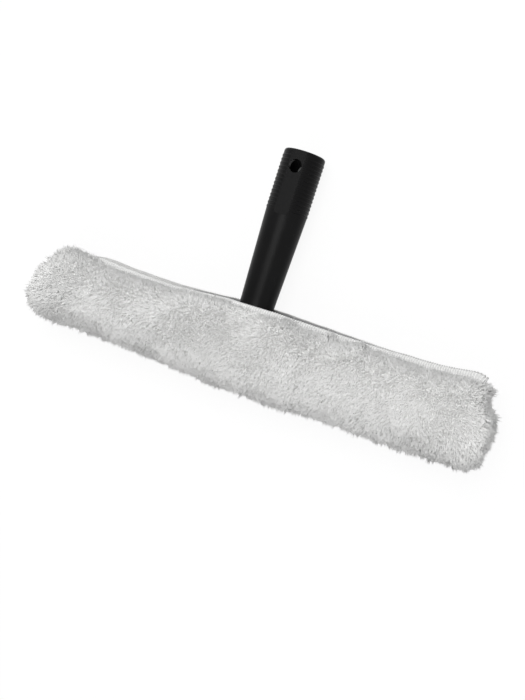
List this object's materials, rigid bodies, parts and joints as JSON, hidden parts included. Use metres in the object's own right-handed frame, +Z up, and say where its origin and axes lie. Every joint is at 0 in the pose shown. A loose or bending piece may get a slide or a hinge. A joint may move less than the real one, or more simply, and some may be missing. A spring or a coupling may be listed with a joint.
{
  "type": "window scrubber",
  "caption": "Hand window washer: a black moulded handle with a pole socket and hanging hole, on a cross-bar inside a white pile sleeve.",
  "frame": {"origin": "on the floor under the middle of the tool's bounding box, with the tool lying on its back", "axes": "+X along the cross-bar and the sleeve, to the right as seen from the front; +Y from the sleeve towards the handle's end; +Z up, out of the tool's front face"},
  "size_m": [0.3616, 0.1772, 0.0513],
  "materials": {
    "handle_black": "satin black moulded polypropylene",
    "bar_aluminium": "drawn tube",
    "plug_black": "matt moulded",
    "screw_steel": "zinc plated",
    "pile_white": "soft cut pile",
    "hem_white": "overlocked edge tape",
    "hook_nylon": "nylon hook tape",
    "loop_nylon": "nylon loop tape"
  },
  "bodies": {
    "root": {"handle": "handle_black", "crossbar": "bar_aluminium", "end_plug_left": "plug_black", "end_plug_right": "plug_black", "bar_screws": "screw_steel", "sleeve_cloth": "pile_white", "sleeve_end_left": "pile_white", "sleeve_end_right": "pile_white", "hem_tape_front": "hem_white", "hem_tape_back": "hem_white", "hook_strip_left": "hook_nylon", "hook_strip_right": "hook_nylon", "loop_strip_left": "loop_nylon", "loop_strip_right": "loop_nylon"}
  },
  "joints": []
}
